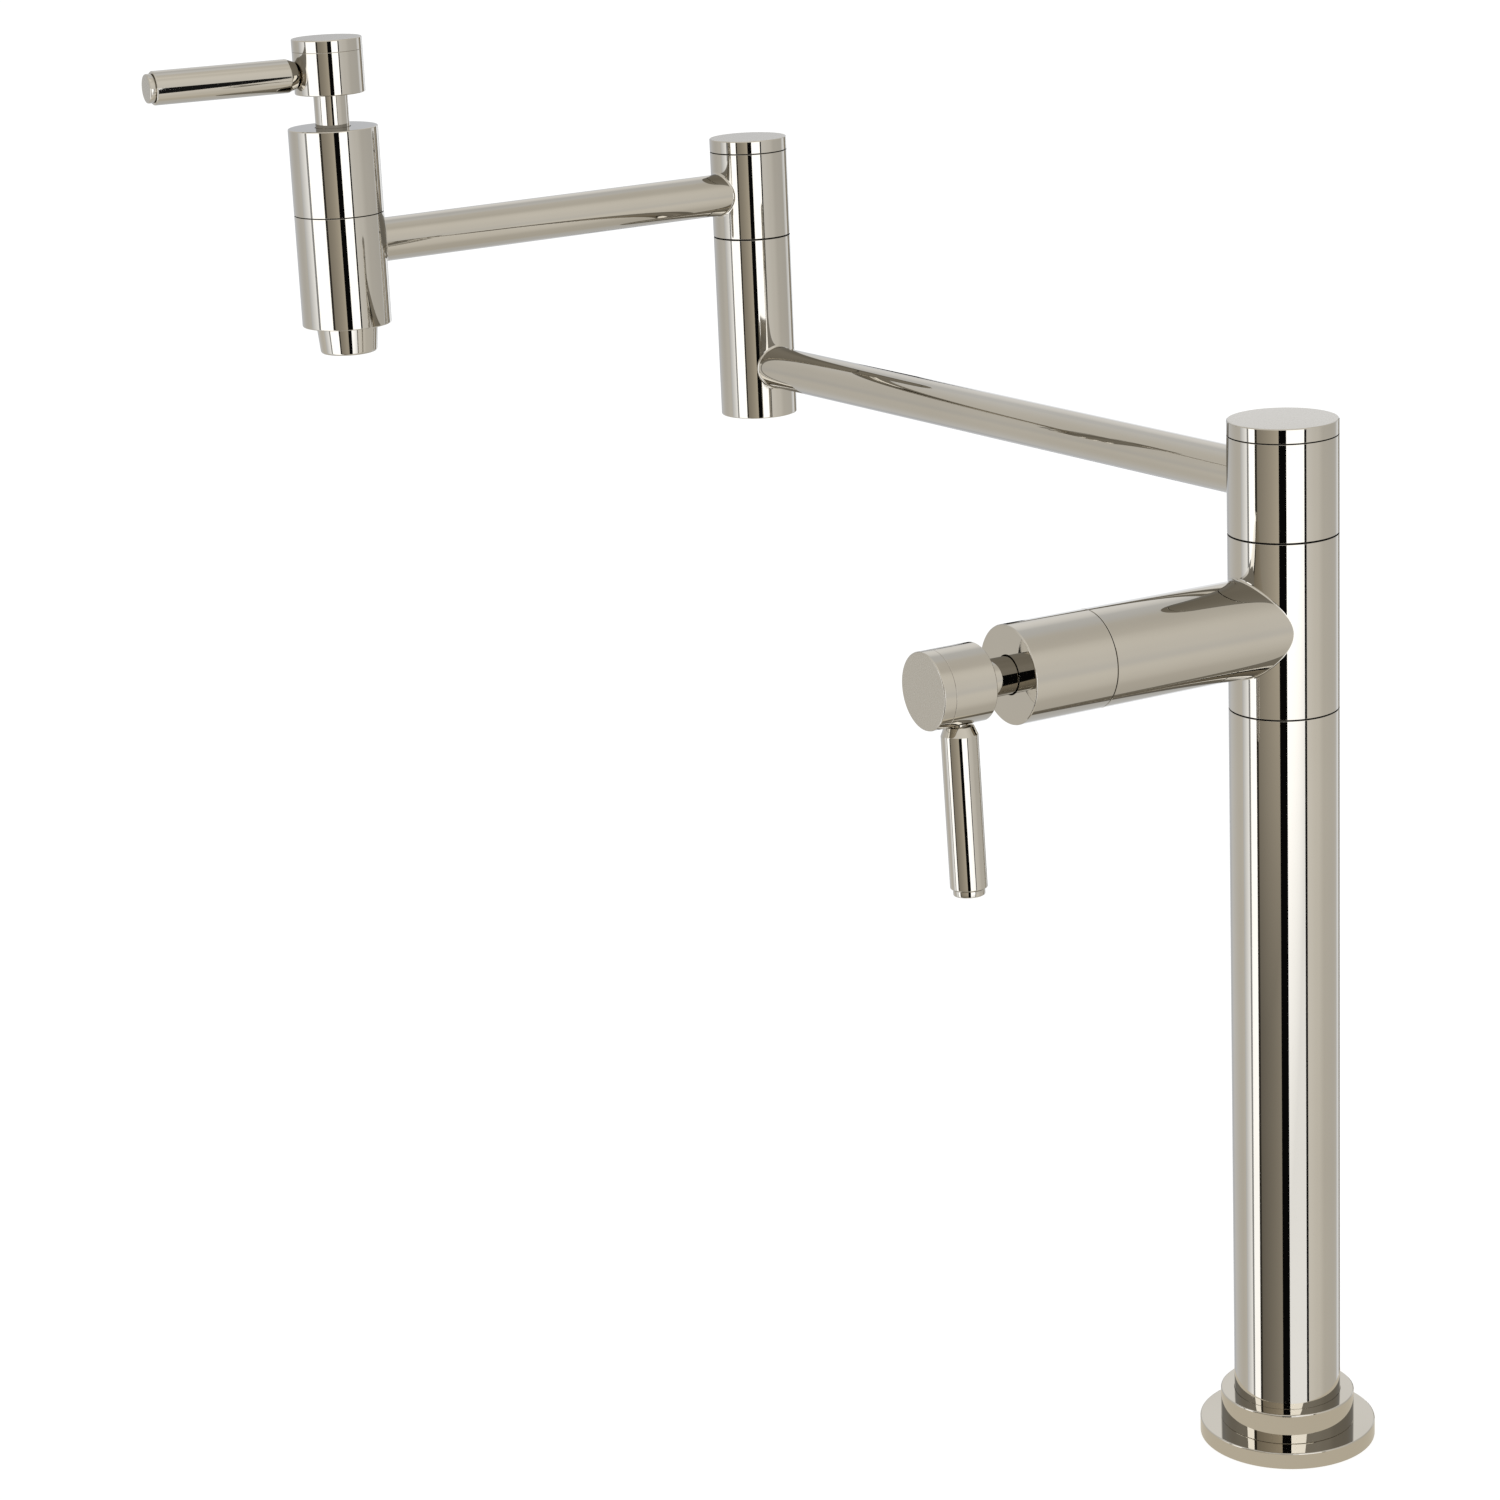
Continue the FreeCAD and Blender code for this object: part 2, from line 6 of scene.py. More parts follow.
import bmesh
import bpy
from mathutils import Matrix, Vector

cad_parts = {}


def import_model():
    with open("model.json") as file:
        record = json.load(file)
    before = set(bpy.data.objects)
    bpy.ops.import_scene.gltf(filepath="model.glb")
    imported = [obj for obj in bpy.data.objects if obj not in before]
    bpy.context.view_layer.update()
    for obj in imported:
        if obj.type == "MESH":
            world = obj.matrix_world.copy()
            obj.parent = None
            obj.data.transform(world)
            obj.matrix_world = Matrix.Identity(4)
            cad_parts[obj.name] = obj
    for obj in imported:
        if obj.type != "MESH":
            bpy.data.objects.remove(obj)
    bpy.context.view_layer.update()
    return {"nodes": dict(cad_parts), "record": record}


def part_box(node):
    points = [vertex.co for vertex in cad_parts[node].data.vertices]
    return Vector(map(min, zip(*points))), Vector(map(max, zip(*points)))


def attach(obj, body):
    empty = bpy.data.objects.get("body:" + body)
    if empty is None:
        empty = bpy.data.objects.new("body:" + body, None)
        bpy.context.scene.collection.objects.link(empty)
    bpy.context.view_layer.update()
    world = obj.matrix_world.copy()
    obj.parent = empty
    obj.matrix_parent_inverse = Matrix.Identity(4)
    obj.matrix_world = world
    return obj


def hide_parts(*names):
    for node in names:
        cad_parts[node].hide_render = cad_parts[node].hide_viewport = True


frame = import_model()

MM = 0.001

# How finely the pieces are turned, and how their edges are finished
ROUND_STEPS = 144
THREAD_STEPS = 72
EDGE_STEPS = 3
WELD_STEPS = 6
SAME_PLACE = 0.002 * MM
SHARP_ANGLE = math.radians(32)
LARGE_FACE_WEIGHT = 100
EDGE = 0.25 * MM
FACE_EDGE = 0.45 * MM
SEAM = 0.26 * MM
CAP_SEAM = 0.2 * MM
VALVE_SEAM = 0.17 * MM
SWIVEL_SEAM = 0.1 * MM
SEAM_EDGE = 0.1 * MM
HUB_EDGE = 0.15 * MM
SEAM_DEPTH = 1.2 * MM
ELBOW_SEAM_DEPTH = 3.0 * MM
WELD = 1.0 * MM
TEE_SIDE_WELD = 0.5

# Which of a piece's materials its seams' painted shade and its satin faces take
PAINTED_SEAM_SHADE = 1
FACE_FINISH = 2

# Thread shapes, as shares of the pitch
THREAD_DEPTH = 0.613
THREAD_CREST = (0.354, 0.479)
THREAD_ROOT = 0.833

# Sizes that the frame's boxes don't give: clearances and the fixing under the deck
THREAD_CLEARANCE = 0.12 * MM
HOLE_CLEARANCE = 0.3 * MM
FIT_CLEARANCE = 0.05 * MM
SHANK_HOLE = 14.3 * MM
SHANK_RADIUS = 14.0 * MM
SHANK_END = -62.0 * MM
SHANK_PITCH = 1.5 * MM
SHANK_THREAD_TOP = -1.5 * MM
SHANK_BORE = 6.5 * MM
TAIL_RADIUS = 10.45 * MM
TAIL_PITCH = 1.814 * MM
RISER_SOCKET = 8.05 * MM
RISER_FOOT = 16.5 * MM
NUT_BORE = 14.12 * MM
NUT_COUNTERSINK = 0.9 * MM
NUT_FACE_SHARE = 0.985
NUT_CHAMFER = math.tan(math.radians(30))
GASKET_BORE = 17.3 * MM

# Column and tee: the rises are above the valve's axis
COLUMN_WALL = 1.5 * MM
COLUMN_FOOT_BORE = 19.1 * MM
TEE_SOCKET = 14.0 * MM
RISER_BORE = 7.0 * MM
INLET_BORE = 5.0 * MM
INLET_TOP_RISE = 2.5 * MM
OUTLET_FLOOR_RISE = 7.9 * MM
BRANCH_ROOT = 8.05 * MM

# Valves and their handles
NECK_LENGTH = 12.0 * MM
NECK_WALL = 4.1 * MM
CHAMBER_DEPTH = 24.0 * MM
CHAMBER_UNDERCUT = 1.0 * MM
BONNET_WALL = 2.1 * MM
NECK_SEAM_DEPTH = BONNET_WALL + THREAD_CLEARANCE
BONNET_FACE = 4.3 * MM
STEM_RADIUS = 6.4 * MM
STEM_CLEARANCE = 0.4 * MM
STEM_LENGTH = 12.6 * MM
HUB_BORE = 3.95 * MM
HUB_POCKET = 7.5 * MM
HUB_CAP_PLUG = 2.0 * MM
SCREW_HEAD = 2.6 * MM
LEVER_REACH = 68.6 * MM
LEVER_RADIUS = 6.25 * MM
LEVER_ROOT_RADIUS = 4.9 * MM
LEVER_ROOT_TAPER = 3.2 * MM
LEVER_STUD_RADIUS = 3.0 * MM
LEVER_STUD_DEPTH = 7.0 * MM
TIP_RADIUS = 5.35 * MM
TIP_REACH = 2.4 * MM
TIP_GROOVE = 0.6 * MM
TIP_PLUG_RADIUS = 3.5 * MM
TIP_PLUG_DEPTH = 8.0 * MM
MAIN_LEVER_ANGLE = -86.6
SPOUT_LEVER_ANGLE = -93.4

# Arms and swivels
ARM_WALL = 1.2 * MM
ARM_SOCKET = 4.4 * MM
ARM_PORT = 5.0 * MM
SPIGOT_WALL = 3.4 * MM
THRUST_WASHER = 1.0 * MM
THRUST_WASHER_WIDTH = 3.4 * MM
CAP_PLUG_WALL = 3.0 * MM
ELBOW_FLOOR = 7.0 * MM

# Outlet
AERATOR_TOP_RADIUS = 11.7 * MM
AERATOR_END_RADIUS = 10.7 * MM
AERATOR_MOUTH = 7.8 * MM
AERATOR_BORE = 8.6 * MM
AERATOR_LIP = 1.8 * MM
AERATOR_NECK_RADIUS = 10.0 * MM
AERATOR_NECK = 6.5 * MM
AERATOR_HEIGHT = 10.6 * MM
AERATOR_EDGE = 0.9 * MM


# Mesh tools
def shell(bm):
    """Faces outwards, smooth across soft edges and split at hard ones."""
    bmesh.ops.recalc_face_normals(bm, faces=bm.faces[:])
    for edge in bm.edges:
        edge.smooth = edge.calc_face_angle(0.0) < SHARP_ANGLE
    for face in bm.faces:
        face.smooth = True
    return bm


def lathe(seat, *outline):
    """A turned shell: the outline's (radius, height, edge round) corners, spun about the seat's axis."""
    bm = bmesh.new()
    corners = [bm.verts.new((radius, 0, height)) for radius, height, _ in outline]
    for here, there in zip(corners, corners[1:]):
        bm.edges.new((here, there))
    if outline[0][0] > 0:
        bm.edges.new((corners[-1], corners[0]))
    bmesh.ops.spin(bm, geom=bm.verts[:] + bm.edges[:], cent=(0, 0, 0), axis=(0, 0, 1),
                   angle=math.tau, steps=ROUND_STEPS, use_merge=True)
    bmesh.ops.remove_doubles(bm, verts=bm.verts[:], dist=SAME_PLACE)
    for radius, height, rounding in outline:
        if rounding:
            round_rim(bm, radius, height, rounding)
    bmesh.ops.transform(bm, matrix=seat, verts=bm.verts[:])
    return shell(bm)


def round_rim(bm, radius, height, rounding):
    """A rounded edge on the rim at a radius and a height."""
    def on_rim(vert):
        return abs(vert.co.xy.length - radius) < SAME_PLACE and abs(vert.co.z - height) < SAME_PLACE

    rim = [edge for edge in bm.edges if all(on_rim(vert) for vert in edge.verts)]
    bmesh.ops.bevel(bm, geom=rim, offset=rounding, segments=EDGE_STEPS, profile=0.5,
                    affect="EDGES", material=-1, clamp_overlap=True)


def shade_or_refinish(bm, finish, seat, rim, low, high):
    """Another finish, or the painted seam shade, on the faces inside a rim and between two heights on the
    seat's axis.
    """
    to_seat = seat.inverted()
    for face in bm.faces:
        places = [to_seat @ vert.co for vert in face.verts]
        inside = all(place.xy.length < rim - SAME_PLACE for place in places)
        if inside and all(low - SAME_PLACE < place.z < high + SAME_PLACE for place in places):
            face.material_index = finish
    return bm


def extended(bm, rim):
    """A rim grown by one ring: the new vertices and the new rim."""
    made = bmesh.ops.extrude_edge_only(bm, edges=rim)["geom"]
    verts = {item for item in made if isinstance(item, bmesh.types.BMVert)}
    edges = [item for item in made if isinstance(item, bmesh.types.BMEdge)]
    return verts, [edge for edge in edges if verts.issuperset(edge.verts)]


def ring_sweep(seat, places):
    """A closed shell of rings: each place gives a ring's point at an angle round the sweep."""
    bm = bmesh.new()
    turn = bm.verts.layers.float.new("turn")
    bmesh.ops.create_circle(bm, segments=ROUND_STEPS, radius=1)
    for vert in bm.verts:
        vert[turn] = math.atan2(vert.co.y, vert.co.x)
    first = ring = bm.edges[:]
    for vert in bm.verts:
        vert.co = places[0](vert[turn])
    for place in places[1:]:
        verts, ring = extended(bm, ring)
        for vert in verts:
            vert.co = place(vert[turn])
    bmesh.ops.bridge_loops(bm, edges=first + ring)
    bmesh.ops.transform(bm, matrix=seat, verts=bm.verts[:])
    return shell(bm)


def flat_ring(radius, along):
    """A ring square to the sweep, at a place along it."""
    return lambda angle: Vector((along, radius * math.sin(angle), radius * math.cos(angle)))


def weld_rings(tube_radius, post_radius, side_share=1.0):
    """The rounded weld from a post's wall to a tube on it, down to side_share of its size at the sides."""
    def on_weld(share):
        def place(angle):
            weld = WELD * (side_share + (1 - side_share) * math.cos(angle) ** 2)
            across = (tube_radius + weld) * math.sin(angle)
            up = (tube_radius + weld) * math.cos(angle)
            along = math.sqrt((post_radius + weld) ** 2 - across ** 2)
            to_post = Vector((-along, -across, 0)).normalized()
            to_tube = Vector((0, -across, -up)).normalized()
            return Vector((along, across, up)) + to_post.slerp(to_tube, share) * weld
        return place

    return [on_weld(i / WELD_STEPS) for i in range(WELD_STEPS + 1)]


def mirrored(place, length):
    """The same ring at the far end of a tube."""
    def far(angle):
        near = place(angle)
        return Vector((length - near.x, near.y, near.z))
    return far


def level_seat(start, direction):
    """A seat for a level tube: X along it, Z upright."""
    along = direction.normalized()
    up = Vector((0, 0, 1))
    return Matrix.Translation(start) @ Matrix((along, up.cross(along), up)).transposed().to_4x4()


def welded_tube(start, end, radius, start_radius, end_radius):
    """A pipe between two posts' axes, welded to both, with its ends let into them."""
    length = (end - start).length
    seat = level_seat(start, end - start)
    bore = radius - ARM_WALL
    near = start_radius - ARM_SOCKET
    far = length - end_radius + ARM_SOCKET
    places = [flat_ring(bore, near), flat_ring(radius, near)]
    places += weld_rings(radius, start_radius)
    places += [mirrored(place, length) for place in reversed(weld_rings(radius, end_radius))]
    places += [flat_ring(radius, far), flat_ring(bore, far)]
    return ring_sweep(seat, places)


def joined(*shells):
    """Several shells in one bmesh."""
    whole = bmesh.new()
    for bm in shells:
        part = bpy.data.meshes.new("shell")
        bm.to_mesh(part)
        bm.free()
        whole.from_mesh(part)
        bpy.data.meshes.remove(part)
    return whole


def thread(radius, pitch, low, high):
    """A screw thread's wall: one turn of its helix, repeated, trimmed flat and broken at its ends."""
    minor = radius - THREAD_DEPTH * pitch
    profile = [(minor, 0), *((radius, share) for share in THREAD_CREST), (minor, THREAD_ROOT), (minor, 1)]
    bm = bmesh.new()
    corners = [bm.verts.new((r, 0, low + (share - 1) * pitch)) for r, share in profile]
    for pair in zip(corners, corners[1:]):
        bm.edges.new(pair)
    bmesh.ops.spin(bm, geom=bm.verts[:] + bm.edges[:], cent=(0, 0, 0), axis=(0, 0, 1),
                   dvec=(0, 0, pitch / THREAD_STEPS), angle=math.tau, steps=THREAD_STEPS)
    turn = bm.verts[:] + bm.edges[:] + bm.faces[:]
    for i in range(1, math.ceil((high - low) / pitch) + 2):
        copy = bmesh.ops.duplicate(bm, geom=turn)["geom"]
        verts = [item for item in copy if isinstance(item, bmesh.types.BMVert)]
        bmesh.ops.translate(bm, verts=verts, vec=(0, 0, i * pitch))
    bmesh.ops.remove_doubles(bm, verts=bm.verts[:], dist=SAME_PLACE)
    for height, outward in ((low, -1), (high, 1)):
        bmesh.ops.bisect_plane(bm, geom=bm.verts[:] + bm.edges[:] + bm.faces[:], dist=SAME_PLACE,
                               plane_co=(0, 0, height), plane_no=(0, 0, outward), clear_outer=True)
    for vert in bm.verts:
        room = minor + max(0, min(vert.co.z - low, high - vert.co.z))
        if vert.co.xy.length > room:
            vert.co.xy = vert.co.xy.normalized() * room
    return bm


def open_rims(bm, height):
    """The open edges at a height."""
    return [edge for edge in bm.edges
            if edge.is_boundary and all(abs(vert.co.z - height) < SAME_PLACE for vert in edge.verts)]


def hexagon_ring(flats, height, face):
    """A ring round a hexagon bar: height gives its place for how far it lies beyond the face's radius."""
    def place(angle):
        radius = flats / 2 / math.cos(angle % (math.pi / 3) - math.pi / 6)
        return flat_ring(radius, height(radius - face))(angle)
    return place


# Materials: where on a noise texture its light and dark lie, and how fine it is
GRAIN_SPREAD = (0.3, 0.7)
TONE_SPREAD = (0.35, 0.65)
GRAIN_DETAIL = 4
TONE_DETAIL = 3
BUMP_HEIGHT = 0.1 * MM
NICKEL = ((0.648, 0.607, 0.53), (0.672, 0.631, 0.554))


def new_material(name):
    material = bpy.data.materials.new(name)
    material.use_nodes = True
    nodes = material.node_tree.nodes
    return material, nodes, material.node_tree.links, nodes["Principled BSDF"]


def noise(nodes, links, coordinates, scale, detail):
    texture = nodes.new("ShaderNodeTexNoise")
    texture.inputs["Scale"].default_value = scale
    texture.inputs["Detail"].default_value = detail
    links.new(coordinates.outputs["Object"], texture.inputs["Vector"])
    return texture


def fade(nodes, links, source, start, end, first, last):
    """Levels from first to last as the source goes from start to end."""
    ramp = nodes.new("ShaderNodeMapRange")
    ramp.inputs["From Min"].default_value = start
    ramp.inputs["From Max"].default_value = end
    ramp.inputs["To Min"].default_value = first
    ramp.inputs["To Max"].default_value = last
    links.new(source, ramp.inputs["Value"])
    return ramp.outputs["Result"]


def maths(nodes, links, operation, first, second):
    made = nodes.new("ShaderNodeMath")
    made.operation = operation
    links.new(first, made.inputs[0])
    links.new(second, made.inputs[1])
    return made.outputs["Value"]


def two_tone(nodes, links, source, *tones):
    ramp = nodes.new("ShaderNodeValToRGB")
    for element, place, tone in zip(ramp.color_ramp.elements, TONE_SPREAD, tones):
        element.position = place
        element.color = (*tone, 1)
    links.new(source.outputs["Fac"], ramp.inputs["Fac"])
    return ramp


def finish_material(name, dark, light, metallic, roughness, tone_scale, grain_scale, bump=0.0):
    """A finish whose tone drifts slowly, with a fine grain in its gloss and a faint unevenness."""
    material, nodes, links, surface = new_material(name)
    coordinates = nodes.new("ShaderNodeTexCoord")
    drift = noise(nodes, links, coordinates, tone_scale, TONE_DETAIL)
    tone = two_tone(nodes, links, drift, dark, light)
    links.new(tone.outputs["Color"], surface.inputs["Base Color"])
    grain = noise(nodes, links, coordinates, grain_scale, GRAIN_DETAIL)
    gloss = fade(nodes, links, grain.outputs["Fac"], *GRAIN_SPREAD, *roughness)
    links.new(gloss, surface.inputs["Roughness"])
    surface.inputs["Metallic"].default_value = metallic
    if bump:
        uneven = nodes.new("ShaderNodeBump")
        uneven.inputs["Strength"].default_value = bump
        uneven.inputs["Distance"].default_value = BUMP_HEIGHT
        links.new(grain.outputs["Fac"], uneven.inputs["Height"])
        links.new(uneven.outputs["Normal"], surface.inputs["Normal"])
    return material


finishes = {
    "polished_nickel": finish_material(
        "polished_nickel", *NICKEL, metallic=1, roughness=(0.015, 0.04), tone_scale=14, grain_scale=160),
    "brass": finish_material(
        "turned_brass", (0.62, 0.45, 0.2), (0.7, 0.53, 0.26),
        metallic=1, roughness=(0.2, 0.34), tone_scale=30, grain_scale=500, bump=0.07),
    "rubber": finish_material(
        "black_rubber", (0.012, 0.012, 0.013), (0.022, 0.022, 0.022),
        metallic=0, roughness=(0.55, 0.8), tone_scale=60, grain_scale=900, bump=0.35),
    "ceramic": finish_material(
        "ground_ceramic", (0.8, 0.79, 0.76), (0.87, 0.86, 0.83),
        metallic=0, roughness=(0.12, 0.2), tone_scale=40, grain_scale=700),
    "slip_plastic": finish_material(
        "slip_plastic", (0.72, 0.72, 0.7), (0.8, 0.8, 0.78),
        metallic=0, roughness=(0.35, 0.5), tone_scale=40, grain_scale=600, bump=0.2),
    "steel": finish_material(
        "zinc_steel", (0.5, 0.51, 0.52), (0.62, 0.63, 0.64),
        metallic=1, roughness=(0.25, 0.42), tone_scale=45, grain_scale=650, bump=0.25),
}

# Painted shade: a near-black material laid in the seam grooves, darkening them where shade falls
seam_shadow = finish_material(
    "seam_shadow", (0.012, 0.011, 0.01), (0.02, 0.018, 0.016),
    metallic=0, roughness=(0.6, 0.8), tone_scale=60, grain_scale=900)
satin_face = finish_material(
    "satin_nickel", *NICKEL, metallic=1, roughness=(0.22, 0.28), tone_scale=14, grain_scale=900)

slot_of = {row["node"]: row["material_slot"] for row in frame["record"]["subparts"]}
body_of = {node: body for body, nodes in frame["record"]["behaviour"]["bodies"].items() for node in nodes}

for name, node in frame["nodes"].items():
    node.data.materials.clear()
    node.data.materials.append(finishes[slot_of[name]])


def piece(node, *shells):
    """One finished piece from its shells, in place of the CAD node of the same name."""
    mesh = bpy.data.meshes.new(node + "_finished")
    whole = joined(*shells)
    whole.to_mesh(mesh)
    whole.free()
    mesh.materials.append(finishes[slot_of[node]])
    # The second material is the painted seam shade, and the third is the satin face
    if any(face.material_index for face in mesh.polygons):
        mesh.materials.append(seam_shadow)
        mesh.materials.append(satin_face)
    made = bpy.data.objects.new(node + "_finished", mesh)
    bpy.context.scene.collection.objects.link(made)
    flat_faces = made.modifiers.new("flat_faces", "WEIGHTED_NORMAL")
    flat_faces.keep_sharp = True
    flat_faces.weight = LARGE_FACE_WEIGHT
    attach(made, body_of[node])
    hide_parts(node)


# Where the frame has its axes
def middle(node):
    """The middle of a node's box."""
    low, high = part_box(node)
    return (low + high) / 2


def upright(node):
    """The upright axis through a round node."""
    centre = middle(node)
    return Matrix.Translation((centre.x, centre.y, 0))


COLUMN = upright("column_tube")
ELBOW = upright("elbow_head")
SPOUT = upright("spout_bonnet")
VALVE_CENTRE = COLUMN.translation + Vector((0, 0, middle("main_bonnet").z))
MAIN_VALVE = Matrix.Translation(VALVE_CENTRE) @ Matrix.Rotation(math.radians(90), 4, "X")


def span(node, seat):
    """A round node's radius, and its ends along the seat's axis."""
    corners = [seat.inverted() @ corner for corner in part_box(node)]
    heights = sorted(corner.z for corner in corners)
    return (corners[1].x - corners[0].x) / 2, heights[0], heights[1]


# Turned forms
def sleeve(seat, radius, low, high, foot, top, seams, edges=(SEAM_EDGE, SEAM_EDGE), depth=SEAM_DEPTH):
    """A round body whose rims stand back from the seams at its ends, so that each seam is a fine groove,
    whose faces take painted shade.

    foot and top are the (radius, height) corners inside it: foot's lead out to its lower rim, and
    top's lead in from its upper one.
    """
    inner = radius - depth
    outline = [(*corner, 0) for corner in foot]
    if seams[0]:
        outline += [(inner, low, 0), (inner, low + seams[0], 0)]
    outline += [(radius, low + seams[0], edges[0]), (radius, high - seams[1], edges[1])]
    if seams[1]:
        outline += [(inner, high - seams[1], 0), (inner, high, 0)]
    outline += [(*corner, 0) for corner in top]
    bm = lathe(seat, *outline)
    # The grooves' faces take the seam_shadow material: painted shade
    if seams[0]:
        shade_or_refinish(bm, PAINTED_SEAM_SHADE, seat, radius, low, low + seams[0])
    if seams[1]:
        shade_or_refinish(bm, PAINTED_SEAM_SHADE, seat, radius, high - seams[1], high)
    return bm


def disc(seat, radius, low, high, plug, seam, edge):
    """A cap on a seam, over the corners of its plug, with a satin face whose edge is rounded."""
    bm = sleeve(seat, radius, low, high, plug, [(0, high)], (seam, 0), (edge, FACE_EDGE))
    return shade_or_refinish(bm, FACE_FINISH, seat, radius, high, high)


def spigot_socket(node, seat):
    """A spigot's water bore, the threaded socket that its root is screwed into, and the root's foot."""
    radius, foot, _ = span(node, seat)
    return radius - SPIGOT_WALL, radius - SPIGOT_WALL / 2 + THREAD_CLEARANCE, foot


def valve_neck(radius, seam):
    """The corners from the top of a bonnet's threaded neck down to the floor of the cartridge's chamber."""
    neck = radius - BONNET_WALL - THREAD_CLEARANCE
    neck_bore = neck - NECK_WALL
    chamber = neck_bore + CHAMBER_UNDERCUT
    top = seam + NECK_LENGTH
    chamber_floor = seam - CHAMBER_DEPTH
    return [(neck, top), (neck_bore, top), (neck_bore, seam),
            (chamber, seam), (chamber, chamber_floor), (INLET_BORE, chamber_floor)]


# Base and column
def base():
    """The deck flange, the collar on it and the column."""
    radius, low, high = span("base_flange", COLUMN)
    gasket_radius, _, gasket_top = span("deck_gasket", COLUMN)
    piece("base_flange", lathe(
        COLUMN, (SHANK_HOLE, low, 0), (GASKET_BORE, low, 0), (GASKET_BORE, gasket_top, 0),
        (gasket_radius, gasket_top, 0), (gasket_radius, low, 0), (radius, low, EDGE),
        (radius, high, FACE_EDGE), (SHANK_HOLE, high, 0)))
    radius, low, high = span("base_collar", COLUMN)
    column_radius, foot, top = span("column_tube", COLUMN)
    piece("base_collar", lathe(
        COLUMN, (SHANK_HOLE, low, 0), (radius, low, EDGE), (radius, high, FACE_EDGE),
        (COLUMN_FOOT_BORE, high, SEAM_EDGE), (COLUMN_FOOT_BORE, foot, 0), (SHANK_HOLE, foot, 0)))
    bore = column_radius - COLUMN_WALL
    piece("column_tube", sleeve(COLUMN, column_radius, foot, top, [(bore, foot)], [(bore, top)], (0, SEAM)))


def shank():
    """The threaded shank with its supply tail, in one closed wall from the outer thread to the bore."""
    plug, low, high = span("mounting_shank", COLUMN)
    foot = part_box("column_tube")[0].z
    bm = joined(thread(SHANK_RADIUS, SHANK_PITCH, SHANK_END, SHANK_THREAD_TOP),
                thread(TAIL_RADIUS, TAIL_PITCH, low, SHANK_END))
    bmesh.ops.bridge_loops(bm, edges=open_rims(bm, SHANK_END))
    rim = open_rims(bm, SHANK_THREAD_TOP)
    runout = SHANK_THREAD_TOP + THREAD_DEPTH * SHANK_PITCH
    for radius, height in ((SHANK_RADIUS, runout), (SHANK_RADIUS, foot), (plug, foot), (plug, high),
                           (RISER_SOCKET, high), (RISER_SOCKET, RISER_FOOT), (SHANK_BORE, RISER_FOOT),
                           (SHANK_BORE, low)):
        verts, rim = extended(bm, rim)
        for vert in verts:
            vert.co = (*(vert.co.xy.normalized() * radius), height)
    bmesh.ops.bridge_loops(bm, edges=open_rims(bm, low))
    bmesh.ops.transform(bm, matrix=COLUMN, verts=bm.verts[:])
    piece("mounting_shank", shell(bm))


def clamp():
    """The hexagon nut and the two washers that pull the flange down from below."""
    low, high = (corner.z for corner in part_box("clamp_nut"))
    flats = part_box("clamp_nut")[1].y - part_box("clamp_nut")[0].y
    face = NUT_FACE_SHARE * flats / 2
    mouth = NUT_BORE + NUT_COUNTERSINK
    piece("clamp_nut", ring_sweep(COLUMN @ Matrix.Rotation(math.radians(-90), 4, "Y"), [
        flat_ring(NUT_BORE, low + NUT_COUNTERSINK), flat_ring(mouth, low), flat_ring(face, low),
        hexagon_ring(flats, lambda fall: low + fall * NUT_CHAMFER, face),
        hexagon_ring(flats, lambda fall: high - fall * NUT_CHAMFER, face),
        flat_ring(face, high), flat_ring(mouth, high), flat_ring(NUT_BORE, high - NUT_COUNTERSINK)]))
    for node in ("clamp_washer", "clamp_seal"):
        radius, low, high = span(node, COLUMN)
        piece(node, lathe(
            COLUMN, (SHANK_HOLE, low, EDGE), (radius, low, FACE_EDGE),
            (radius, high, FACE_EDGE), (SHANK_HOLE, high, EDGE)))


def valve_tee():
    """The body on the column: a post with its water passages, and the branch welded to its side."""
    radius, _, low = span("column_tube", COLUMN)
    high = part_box("valve_tee")[1].z
    branch_radius, branch_end, _ = span("main_bonnet", MAIN_VALVE)
    inlet_top = VALVE_CENTRE.z + INLET_TOP_RISE
    outlet_floor = VALVE_CENTRE.z + OUTLET_FLOOR_RISE
    plug = radius - COLUMN_WALL - THREAD_CLEARANCE
    plug_foot = low - TEE_SOCKET
    water, socket, root = spigot_socket("column_spigot", COLUMN)
    post = sleeve(
        COLUMN, radius, low, high,
        [(0, inlet_top), (RISER_BORE, inlet_top), (RISER_BORE, low), (RISER_SOCKET, low),
         (RISER_SOCKET, plug_foot), (plug, plug_foot), (plug, low)],
        [(socket, high), (socket, root), (water, root), (water, outlet_floor), (0, outlet_floor)],
        (SEAM, SWIVEL_SEAM))
    seat = level_seat(VALVE_CENTRE, MAIN_VALVE.to_3x3() @ Vector((0, 0, 1)))
    rim = branch_end - VALVE_SEAM
    neck = branch_radius - NECK_SEAM_DEPTH
    places = [flat_ring(INLET_BORE, BRANCH_ROOT), flat_ring(branch_radius - WELD, BRANCH_ROOT)]
    places += weld_rings(branch_radius, radius, TEE_SIDE_WELD)
    places += [flat_ring(branch_radius, rim - SEAM_EDGE), flat_ring(branch_radius - SEAM_EDGE, rim),
               flat_ring(neck, rim), flat_ring(neck, branch_end)]
    places += [flat_ring(*corner) for corner in valve_neck(branch_radius, branch_end)]
    # The groove at the bonnet's seam takes painted shade
    branch = shade_or_refinish(ring_sweep(seat, places), PAINTED_SEAM_SHADE, MAIN_VALVE, branch_radius, rim, branch_end)
    piece("valve_tee", post, branch)


